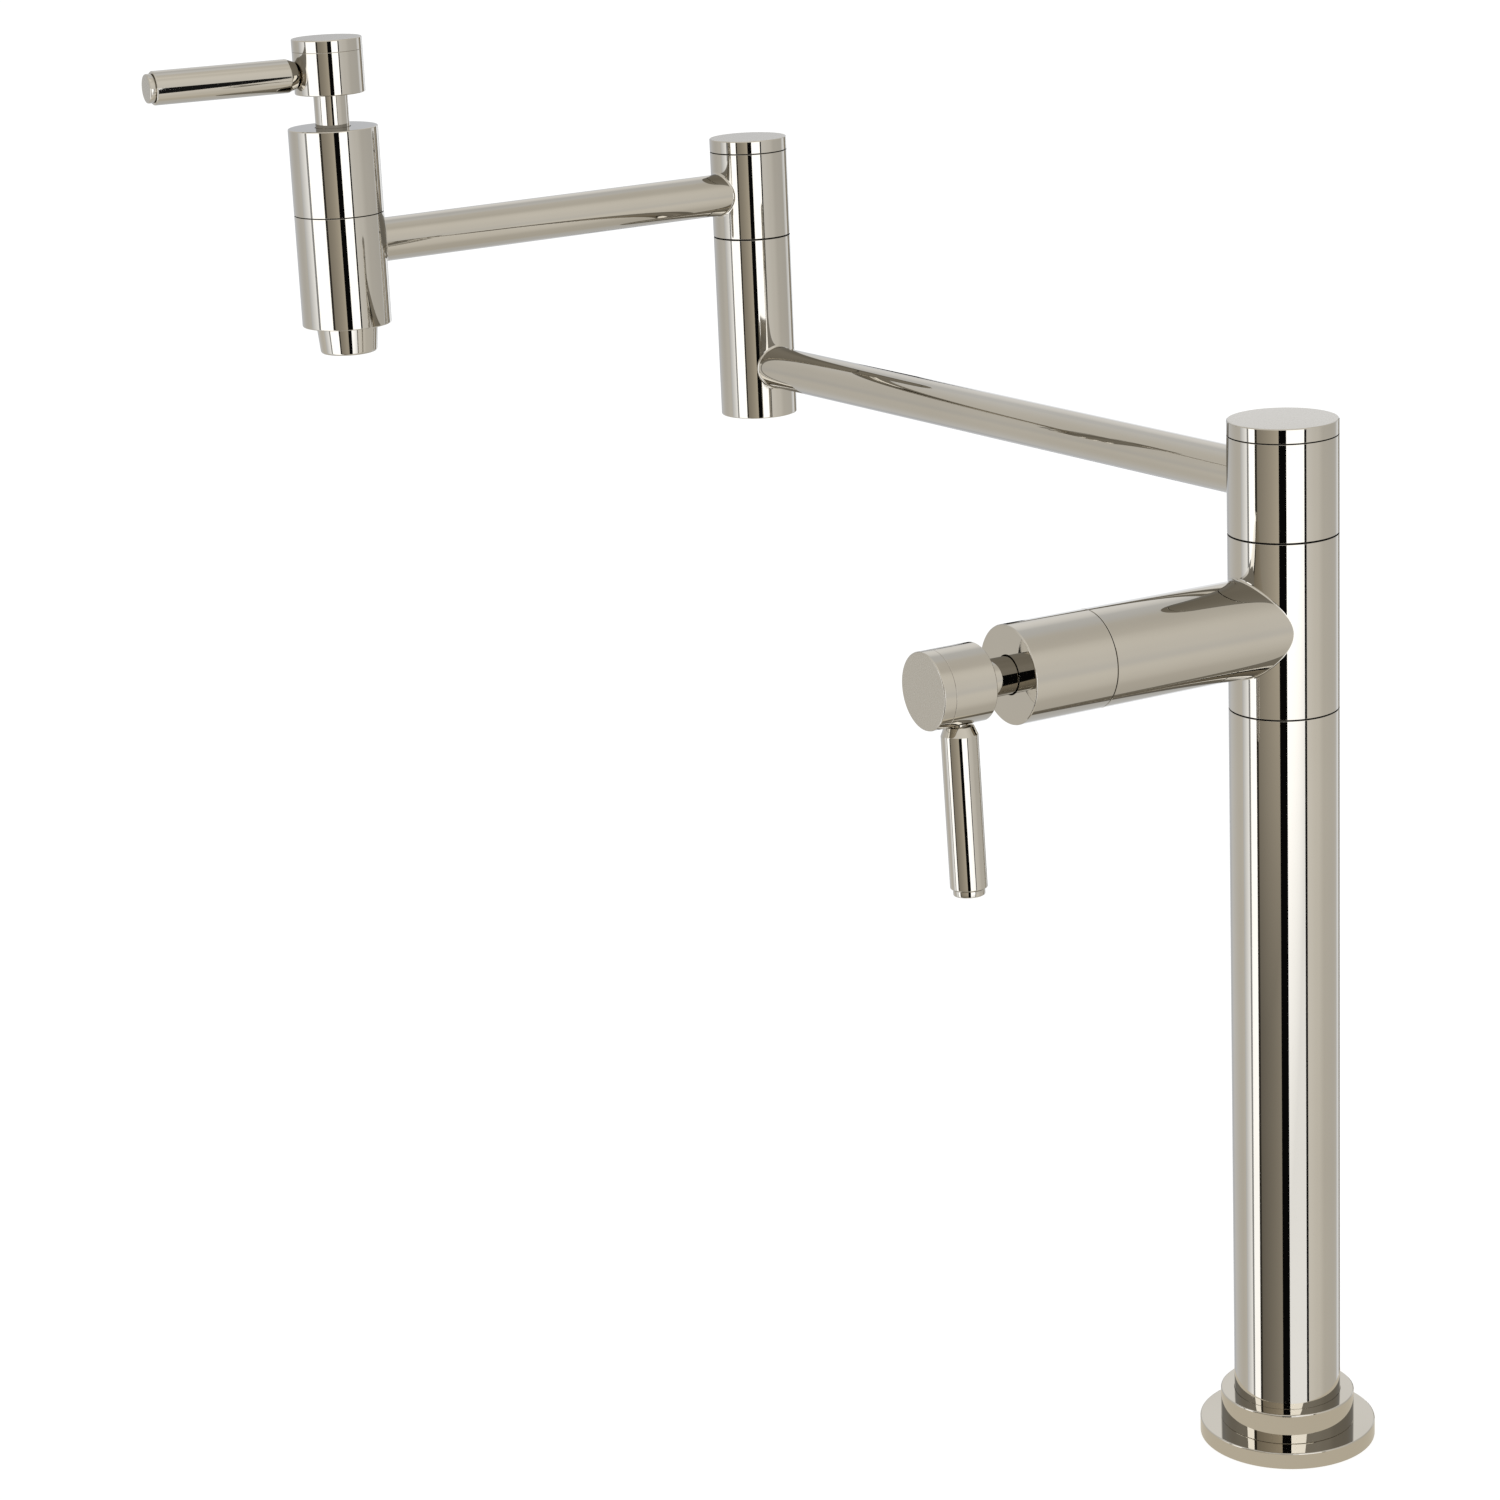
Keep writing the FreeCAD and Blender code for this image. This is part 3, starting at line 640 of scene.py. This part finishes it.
# Valves
def valve(prefix, seat, lever_angle):
    """One valve's bonnet and handle, along the seat's axis."""
    radius, low, high = span(prefix + "_bonnet", seat)
    face = high - BONNET_FACE
    bore = radius - BONNET_WALL
    stem_hole = STEM_RADIUS + STEM_CLEARANCE
    rim = low + VALVE_SEAM
    groove = radius - SEAM_DEPTH
    bonnet = lathe(
        seat, (bore, low, 0), (groove, low, 0), (groove, rim, 0),
        (radius, rim, SEAM_EDGE), (radius, high, FACE_EDGE),
        (stem_hole, high, SEAM_EDGE), (stem_hole, face, 0), (bore, face, 0))
    # The groove at the bonnet's seam takes painted shade
    piece(prefix + "_bonnet", shade_or_refinish(bonnet, PAINTED_SEAM_SHADE, seat, radius, low, rim))
    hub_radius, stem_low, hub_top = span(prefix + "_hub", seat)
    hub_low = high + STEM_LENGTH
    pocket_floor = span(prefix + "_handle_screw", seat)[2] - SCREW_HEAD
    piece(prefix + "_hub", lathe(
        seat, (HUB_BORE, stem_low, 0), (STEM_RADIUS, stem_low, 0), (STEM_RADIUS, hub_low, 0),
        (hub_radius, hub_low, FACE_EDGE), (hub_radius, hub_top, HUB_EDGE), (HUB_POCKET, hub_top, 0),
        (HUB_POCKET, pocket_floor, 0), (HUB_BORE, pocket_floor, 0)))
    cap_radius, _, cap_top = span(prefix + "_hub_cap", seat)
    plug_radius = HUB_POCKET - FIT_CLEARANCE
    plug_foot = hub_top - HUB_CAP_PLUG
    plug = [(0, plug_foot), (plug_radius, plug_foot), (plug_radius, hub_top)]
    piece(prefix + "_hub_cap", disc(seat, cap_radius, hub_top, cap_top, plug, 0, HUB_EDGE))
    lever_height = (seat.inverted() @ middle(prefix + "_lever")).z
    across = Matrix.Rotation(math.radians(lever_angle), 4, "Z") @ Matrix.Rotation(math.radians(90), 4, "Y")
    lever(prefix, seat @ Matrix.Translation((0, 0, lever_height)) @ across, hub_radius)


def lever(prefix, seat, hub_radius):
    """A lever with its stud in the hub, and the stepped tip plugged into its end."""
    stud_end = hub_radius - LEVER_STUD_DEPTH
    root = hub_radius + SEAM
    groove = TIP_RADIUS - TIP_GROOVE
    plug_hole = TIP_PLUG_RADIUS + FIT_CLEARANCE
    plug_floor = LEVER_REACH - TIP_PLUG_DEPTH
    piece(prefix + "_lever", lathe(
        seat, (0, stud_end, 0), (LEVER_STUD_RADIUS, stud_end, 0), (LEVER_STUD_RADIUS, root, 0),
        (LEVER_ROOT_RADIUS, root, EDGE), (LEVER_RADIUS, root + LEVER_ROOT_TAPER, EDGE),
        (LEVER_RADIUS, LEVER_REACH, FACE_EDGE), (plug_hole, LEVER_REACH, 0),
        (plug_hole, plug_floor, 0), (0, plug_floor, 0)))
    plug_foot = plug_floor + FIT_CLEARANCE
    tip_low = LEVER_REACH + SEAM
    tip_end = LEVER_REACH + TIP_REACH
    tip = lathe(
        seat, (0, plug_foot, 0), (TIP_PLUG_RADIUS, plug_foot, 0), (TIP_PLUG_RADIUS, LEVER_REACH, 0),
        (groove, LEVER_REACH, 0), (groove, tip_low, 0), (TIP_RADIUS, tip_low, SEAM_EDGE),
        (TIP_RADIUS, tip_end, FACE_EDGE), (0, tip_end, 0))
    piece(prefix + "_lever_tip", shade_or_refinish(tip, FACE_FINISH, seat, TIP_RADIUS, tip_end, tip_end))


# Arms
def swivel_head(prefix, seat, arm_node):
    """The drum that turns on a spigot, with room for its washers and nut, and the cap plugged into it."""
    radius, low, high = span(prefix + "_head", seat)
    spigot_radius = span(prefix + "_spigot", seat)[0]
    washer_radius, washer_low, washer_top = span(prefix + "_thrust_washers", seat)
    bore = spigot_radius + FIT_CLEARANCE
    recess = spigot_radius + THRUST_WASHER_WIDTH + HOLE_CLEARANCE
    recess_top = washer_low + THRUST_WASHER + FIT_CLEARANCE
    pocket = washer_radius + HOLE_CLEARANCE
    ledge = washer_top - THRUST_WASHER - FIT_CLEARANCE
    gallery = (bore + radius - ARM_SOCKET) / 2
    port_low = middle(arm_node).z - ARM_PORT
    port_high = middle(arm_node).z + ARM_PORT
    piece(prefix + "_head", sleeve(
        seat, radius, low, high, [(bore, recess_top), (recess, recess_top), (recess, low)],
        [(pocket, high), (pocket, ledge), (bore, ledge), (bore, port_high), (gallery, port_high),
         (gallery, port_low), (bore, port_low)],
        (SWIVEL_SEAM, CAP_SEAM)))
    radius, plug_foot, top = span(prefix + "_cap", seat)
    plug_radius = pocket - FIT_CLEARANCE
    plug_bore = pocket - CAP_PLUG_WALL
    plug = [(0, high), (plug_bore, high), (plug_bore, plug_foot),
            (plug_radius, plug_foot), (plug_radius, high)]
    piece(prefix + "_cap", disc(seat, radius, high, top, plug, CAP_SEAM, SEAM_EDGE))


def arms():
    """Both swivel heads, the elbow's lower half and the two arms between the posts."""
    swivel_head("column", COLUMN, "lower_arm_tube")
    swivel_head("elbow", ELBOW, "upper_arm_tube")
    radius, low, high = span("elbow_lower_body", ELBOW)
    water, socket, root = spigot_socket("elbow_spigot", ELBOW)
    floor_height = low + ELBOW_FLOOR
    piece("elbow_lower_body", sleeve(
        ELBOW, radius, low, high, [(0, low)],
        [(socket, high), (socket, root), (water, root), (water, floor_height), (0, floor_height)],
        (0, SWIVEL_SEAM), (FACE_EDGE, SEAM_EDGE), ELBOW_SEAM_DEPTH))
    column_radius = span("column_head", COLUMN)[0]
    elbow_radius = span("elbow_head", ELBOW)[0]
    spout_radius = span("spout_bonnet", SPOUT)[0]
    arm("lower_arm_tube", COLUMN, ELBOW, column_radius, elbow_radius)
    arm("upper_arm_tube", ELBOW, SPOUT, elbow_radius, spout_radius)


def arm(node, start, end, start_radius, end_radius):
    """One arm between two posts, at its node's height."""
    low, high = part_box(node)
    height = Vector((0, 0, (low.z + high.z) / 2))
    radius = (high.z - low.z) / 2
    piece(node, welded_tube(
        start.translation + height, end.translation + height, radius, start_radius, end_radius))


# Spout and its outlet
def spout():
    """The spout's drum under its valve, and the tapered outlet screwed into it."""
    radius, seam, _ = span("spout_bonnet", SPOUT)
    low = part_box("spout_body")[0].z
    thread_hole = AERATOR_NECK_RADIUS + THREAD_CLEARANCE
    thread_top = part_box("aerator_washer")[1].z
    piece("spout_body", sleeve(
        SPOUT, radius, low, seam, [(INLET_BORE, thread_top), (thread_hole, thread_top), (thread_hole, low)],
        valve_neck(radius, seam), (0, VALVE_SEAM), (FACE_EDGE, SEAM_EDGE), NECK_SEAM_DEPTH))
    _, end, _ = span("aerator_housing", SPOUT)
    top = end + AERATOR_HEIGHT
    neck_top = top + AERATOR_NECK
    lip_top = end + AERATOR_LIP
    piece("aerator_housing", lathe(
        SPOUT, (AERATOR_MOUTH, end, EDGE), (AERATOR_END_RADIUS, end, AERATOR_EDGE),
        (AERATOR_TOP_RADIUS, top, 0), (AERATOR_NECK_RADIUS, top, 0), (AERATOR_NECK_RADIUS, neck_top, 0),
        (AERATOR_BORE, neck_top, 0), (AERATOR_BORE, lip_top, 0), (AERATOR_MOUTH, lip_top, 0)))


base()
shank()
clamp()
valve_tee()
valve("main", MAIN_VALVE, MAIN_LEVER_ANGLE)
arms()
spout()
valve("spout", SPOUT, SPOUT_LEVER_ANGLE)


# Studio: a pale floor, a light tent, and cards before and behind the object that the nickel mirrors
WHITE = (0.97, 1.0, 1.06)
BOARD = (1.0, 0.92, 0.785)
DARK = (0.012, 0.012, 0.013)
EVEN_SIDES = (1.0, 1.0)
EVEN_HEIGHTS = ((-0.15, 1.0), (0.3, 1.0))
CARD_ENDS = (-0.8, 0.5)
REAR_CARD_ENDS = (-1.2, 0.8)
BLOCK = (0.645, 0.6, 0.515)
BLOCK_RADIUS = 59 * MM
BLOCK_STEPS = 96
BLOCK_DROP = 0.1 * MM
SHELF = (0.62, 0.62, 0.61)
SHELF_HEIGHT = 60 * MM
SHELF_REACH = (80 * MM, 400 * MM)
SHELF_BEARINGS = (-62, -24)
FLOOR = (0.3, 0.3, 0.3)
FLOOR_GLOW = 0.85
FLOOR_SIZE = 40
FLOOR_DROP = 0.2 * MM
BACKDROP = Vector((-0.712, 0.536, 0.454))
BACKDROP_EDGES = (0.93, 1.0)
BACKDROP_SHARE = 0.62
SECOND_MIRROR = 0.42

# The tent's level and warmth at bearings round it, and how they change with the angle above the horizon
WALLS = ((-180, 0.655, -0.08), (-145, 0.62, 0.02), (-125, 0.68, 0.02), (14, 0.8, 0), (35, 0.74, 0.02),
         (55, 0.62, 0.03), (85, 0.59, 0.02), (120, 0.625, -0.12))
HEIGHTS = ((-72, 0.96, 0.12), (-55, 0.9, 0.08), (-35, 0.98, 0.06), (-18, 1.01, 0.05), (-6, 0.92, 0),
           (8, 0.98, 0.03), (40, 1.05, 0.05), (54, 0.97, 0.06), (70, 1.15, 0.05))

# The camera, fitted to the photograph: its place, its angles, and its lens and sensor in millimetres
EYE = (1.0057, -0.772, 0.6292)
EYE_AZIMUTH = math.radians(150.876)
EYE_PITCH = math.radians(16.085)
EYE_ROLL = math.radians(-2.606)
EYE_LENS = 90.58
EYE_SENSOR = 36
EYE_FAR = 200


def stage_mesh(name, bm, material):
    mesh = bpy.data.meshes.new(name)
    bm.to_mesh(mesh)
    bm.free()
    mesh.materials.append(material)
    made = bpy.data.objects.new(name, mesh)
    bpy.context.scene.collection.objects.link(made)
    return made


def mirrored_only(made):
    """Only reflections see this piece of the studio."""
    made.visible_camera = False
    made.visible_diffuse = False
    made.visible_shadow = False
    made.visible_transmission = False


def light_material(name, colour):
    """A material that only glows."""
    material = bpy.data.materials.new(name)
    material.use_nodes = True
    nodes = material.node_tree.nodes
    nodes.clear()
    light = nodes.new("ShaderNodeEmission")
    light.inputs["Color"].default_value = (*colour, 1)
    out = nodes.new("ShaderNodeOutputMaterial")
    out.name = "Material Output"
    material.node_tree.links.new(light.outputs["Emission"], out.inputs["Surface"])
    return material, nodes, material.node_tree.links, light


def along_axis(nodes, links, source, axis):
    """How far a vector reaches along an axis."""
    made = nodes.new("ShaderNodeVectorMath")
    made.operation = "DOT_PRODUCT"
    made.inputs[1].default_value = axis
    links.new(source, made.inputs[0])
    return made.outputs["Value"]


def card(name, start, end, colour, along=EVEN_SIDES, upward=EVEN_HEIGHTS, ends=CARD_ENDS):
    """An upright card between two places on the plan, in millimetres, and its foot and top.

    along is how bright it is at its two sides, and upward how bright at two heights.
    """
    start, end = (Vector((x * MM, y * MM, 0)) for x, y in (start, end))
    bm = bmesh.new()
    foot = bm.edges.new([bm.verts.new(place + Vector((0, 0, ends[0]))) for place in (start, end)])
    raised, _ = extended(bm, [foot])
    bmesh.ops.translate(bm, verts=list(raised), vec=(0, 0, ends[1] - ends[0]))
    material, nodes, links, light = light_material(name, colour)
    where = nodes.new("ShaderNodeTexCoord")
    height = nodes.new("ShaderNodeSeparateXYZ")
    links.new(where.outputs["Object"], height.inputs["Vector"])
    (low, low_level), (high, high_level) = upward
    rising = fade(nodes, links, height.outputs["Z"], low, high, low_level, high_level)
    direction = (end - start).normalized()
    place = along_axis(nodes, links, where.outputs["Object"], direction)
    sideways = fade(nodes, links, place, start.dot(direction), end.dot(direction), *along)
    links.new(maths(nodes, links, "MULTIPLY", rising, sideways), light.inputs["Strength"])
    mirrored_only(stage_mesh(name, bm, material))


def cards():
    """The cards and the gaps between them, from the camera's left to its right, and then those behind."""
    card("light_card_left", (-765, -820), (-458, -971), WHITE, along=(0.62, 1.2))
    card("gap_left", (-458, -971), (-380, -1000), WHITE, along=(0.35, 0.35))
    card("white_card_left", (-380, -1000), (-65, -623), WHITE, upward=((-0.2, 1.55), (0.2, 1.75)))
    card("gap_board", (-65, -623), (-10, -619), BOARD, along=(0.04, 0.04))
    card("dark_board", (-10, -619), (540, -559), BOARD,
         along=(0.58, 1.12), upward=((-0.06, 0.285), (0.11, 0.49)))
    card("black_gap", (540, -559), (595, -354), DARK, along=(0.3, 0.3))
    card("white_card_right", (595, -354), (1391, 145), WHITE, upward=((-0.2, 1.15), (0.1, 1.75)))
    card("gap_right", (1391, 145), (1377, 262), DARK)
    rear = {"ends": REAR_CARD_ENDS}
    card("white_card_rear", (-306, 2179), (-895, 2010), WHITE, along=(0.7, 1.0), **rear)
    card("dark_board_rear", (-895, 2010), (-1293, 1780), BOARD, along=(0.3, 0.42), **rear)
    card("black_gap_rear", (-1293, 1780), (-1429, 1673), DARK, **rear)
    card("light_card_rear", (-1429, 1673), (-1905, 1100), WHITE, along=(1.1, 0.95), **rear)
    card("gap_rear", (-1905, 1100), (-1933, 1050), DARK, **rear)
    card("grey_card_rear", (-1933, 1050), (-2179, 306), WHITE, along=(0.72, 0.5), **rear)


def one_sided(nodes, links, shader, hidden=None):
    """Only the side that a face points to shows, where it isn't hidden, and the rest is clear."""
    side = nodes.new("ShaderNodeNewGeometry").outputs["Backfacing"]
    if hidden:
        side = maths(nodes, links, "MAXIMUM", side, hidden)
    clear = nodes.new("ShaderNodeBsdfTransparent")
    chosen = nodes.new("ShaderNodeMixShader")
    links.new(side, chosen.inputs["Fac"])
    links.new(shader, chosen.inputs[1])
    links.new(clear.outputs["BSDF"], chosen.inputs[2])
    links.new(chosen.outputs["Shader"], nodes["Material Output"].inputs["Surface"])


def floor():
    """A pale floor with the object's shadow, clear from below so that the fixing under it shows."""
    bm = bmesh.new()
    bmesh.ops.create_grid(bm, x_segments=1, y_segments=1, size=FLOOR_SIZE)
    bmesh.ops.translate(bm, verts=bm.verts[:], vec=(0, 0, -FLOOR_DROP))
    material, nodes, links, surface = new_material("pale_floor")
    surface.inputs["Base Color"].default_value = (*FLOOR, 1)
    surface.inputs["Roughness"].default_value = 1.0
    surface.inputs["Specular IOR Level"].default_value = 0.0
    surface.inputs["Emission Color"].default_value = (1, 1, 1, 1)
    seen = nodes.new("ShaderNodeLightPath")
    glow = fade(nodes, links, seen.outputs["Is Camera Ray"], 0, 1, 0, FLOOR_GLOW)
    links.new(glow, surface.inputs["Emission Strength"])
    one_sided(nodes, links, surface.outputs["BSDF"])
    made = stage_mesh("floor", bm, material)
    made.visible_glossy = False


def pale_shelf():
    """A low shelf that faces down: seen from behind, the base mirrors it and not the black gap beyond.

    A second mirroring, as of the collar in the flange, passes through it.
    """
    bm = bmesh.new()
    corners = []
    for reach in SHELF_REACH:
        for bearing in (math.radians(degrees) for degrees in SHELF_BEARINGS):
            corners.append(bm.verts.new((reach * math.cos(bearing), reach * math.sin(bearing), SHELF_HEIGHT)))
    near, near_end, far, far_end = corners
    bm.faces.new((near, near_end, far_end, far))
    material, nodes, links, light = light_material("pale_shelf", SHELF)
    mirrorings = nodes.new("ShaderNodeLightPath").outputs["Glossy Depth"]
    one_sided(nodes, links, light.outputs["Emission"], fade(nodes, links, mirrorings, 1, 2, 0, 1))
    mirrored_only(stage_mesh("pale_shelf", bm, material))


def rest_block():
    """The small block under the flange that the foot mirrors."""
    bm = bmesh.new()
    bmesh.ops.create_circle(bm, cap_ends=True, segments=BLOCK_STEPS, radius=BLOCK_RADIUS)
    bmesh.ops.translate(bm, verts=bm.verts[:], vec=(0, 0, -BLOCK_DROP))
    mirrored_only(stage_mesh("rest_block", bm, light_material("rest_block", BLOCK)[0]))


def tone_ramp(nodes, links, source, stops):
    """Levels at places from 0 to 1, each with how warm it is."""
    ramp = nodes.new("ShaderNodeValToRGB")
    ramp.color_ramp.interpolation = "EASE"
    elements = ramp.color_ramp.elements
    while len(elements) < len(stops):
        elements.new(0.5)
    for element, (place, level, warmth) in zip(elements, stops):
        element.position = place
        element.color = (level, level * (1 - warmth / 3), level * (1 - warmth), 1)
    links.new(source, ramp.inputs["Fac"])
    return ramp.outputs["Color"]


def compass(degrees):
    """A bearing from +X as a share of the full turn that starts at -X."""
    return (degrees + 180) / 360


def tilt(degrees):
    """An angle above the horizon as a share of the way from straight down to straight up."""
    return (math.sin(math.radians(degrees)) + 1) / 2


def tent(nodes, links, towards, mirrorings):
    """The tent's colour in a direction: its walls times its heights, dimmer for a second mirroring."""
    axes = nodes.new("ShaderNodeSeparateXYZ")
    links.new(towards, axes.inputs["Vector"])
    bearing = maths(nodes, links, "ARCTAN2", axes.outputs["Y"], axes.outputs["X"])
    turn = fade(nodes, links, bearing, -math.pi, math.pi, 0, 1)
    rise = fade(nodes, links, axes.outputs["Z"], -1, 1, 0, 1)
    walls = tone_ramp(nodes, links, turn, [(compass(place), *tone) for place, *tone in WALLS])
    heights = tone_ramp(nodes, links, rise, [(tilt(place), *tone) for place, *tone in HEIGHTS])
    colour = nodes.new("ShaderNodeMix")
    colour.data_type = "RGBA"
    colour.blend_type = "MULTIPLY"
    colour.inputs["Factor"].default_value = 1.0
    links.new(walls, colour.inputs["A"])
    links.new(heights, colour.inputs["B"])
    dimmed = nodes.new("ShaderNodeVectorMath")
    dimmed.operation = "SCALE"
    links.new(colour.outputs["Result"], dimmed.inputs[0])
    links.new(fade(nodes, links, mirrorings, 1, 2, 1, SECOND_MIRROR), dimmed.inputs["Scale"])
    return dimmed.outputs["Vector"]


def backdrop(nodes, links, towards, seen):
    """How much white shows: all to the camera, and a share in the tent's opening to mirrored rays."""
    nearness = along_axis(nodes, links, towards, BACKDROP)
    opening = fade(nodes, links, nearness, *BACKDROP_EDGES, 0, BACKDROP_SHARE)
    ray = maths(nodes, links, "ADD", seen.outputs["Is Glossy Ray"], seen.outputs["Is Transmission Ray"])
    mirrored_opening = maths(nodes, links, "MULTIPLY", ray, opening)
    return maths(nodes, links, "ADD", seen.outputs["Is Camera Ray"], mirrored_opening)


def world():
    """A pale tent, brightest to the camera's right and overhead, with an opening behind the object."""
    made = bpy.data.worlds.new("light_tent")
    bpy.context.scene.world = made
    made.use_nodes = True
    nodes = made.node_tree.nodes
    links = made.node_tree.links
    background = nodes["Background"]
    towards = nodes.new("ShaderNodeTexCoord").outputs["Generated"]
    seen = nodes.new("ShaderNodeLightPath")
    shown = nodes.new("ShaderNodeMix")
    shown.data_type = "RGBA"
    shown.inputs["B"].default_value = (1, 1, 1, 1)
    links.new(tent(nodes, links, towards, seen.outputs["Glossy Depth"]), shown.inputs["A"])
    links.new(backdrop(nodes, links, towards, seen), shown.inputs["Factor"])
    links.new(shown.outputs["Result"], background.inputs["Color"])
    background.inputs["Strength"].default_value = 1.0


def camera():
    """The camera at the photograph's place, from its azimuth, pitch and roll."""
    level = math.cos(EYE_PITCH)
    ahead = Vector((level * math.cos(EYE_AZIMUTH), level * math.sin(EYE_AZIMUTH), -math.sin(EYE_PITCH)))
    right = ahead.cross(Vector((0, 0, 1))).normalized()
    up = right.cross(ahead)
    across = math.cos(EYE_ROLL) * right + math.sin(EYE_ROLL) * up
    upward = math.cos(EYE_ROLL) * up - math.sin(EYE_ROLL) * right
    made = bpy.data.cameras.new("camera")
    made.lens = EYE_LENS
    made.sensor_width = EYE_SENSOR
    made.clip_end = EYE_FAR
    eye = bpy.data.objects.new("camera", made)
    bpy.context.scene.collection.objects.link(eye)
    eye.matrix_world = Matrix.Translation(EYE) @ Matrix((across, upward, -ahead)).transposed().to_4x4()
    bpy.context.scene.camera = eye


cards()
floor()
rest_block()
pale_shelf()
world()
camera()
bpy.context.scene.view_settings.view_transform = "Standard"
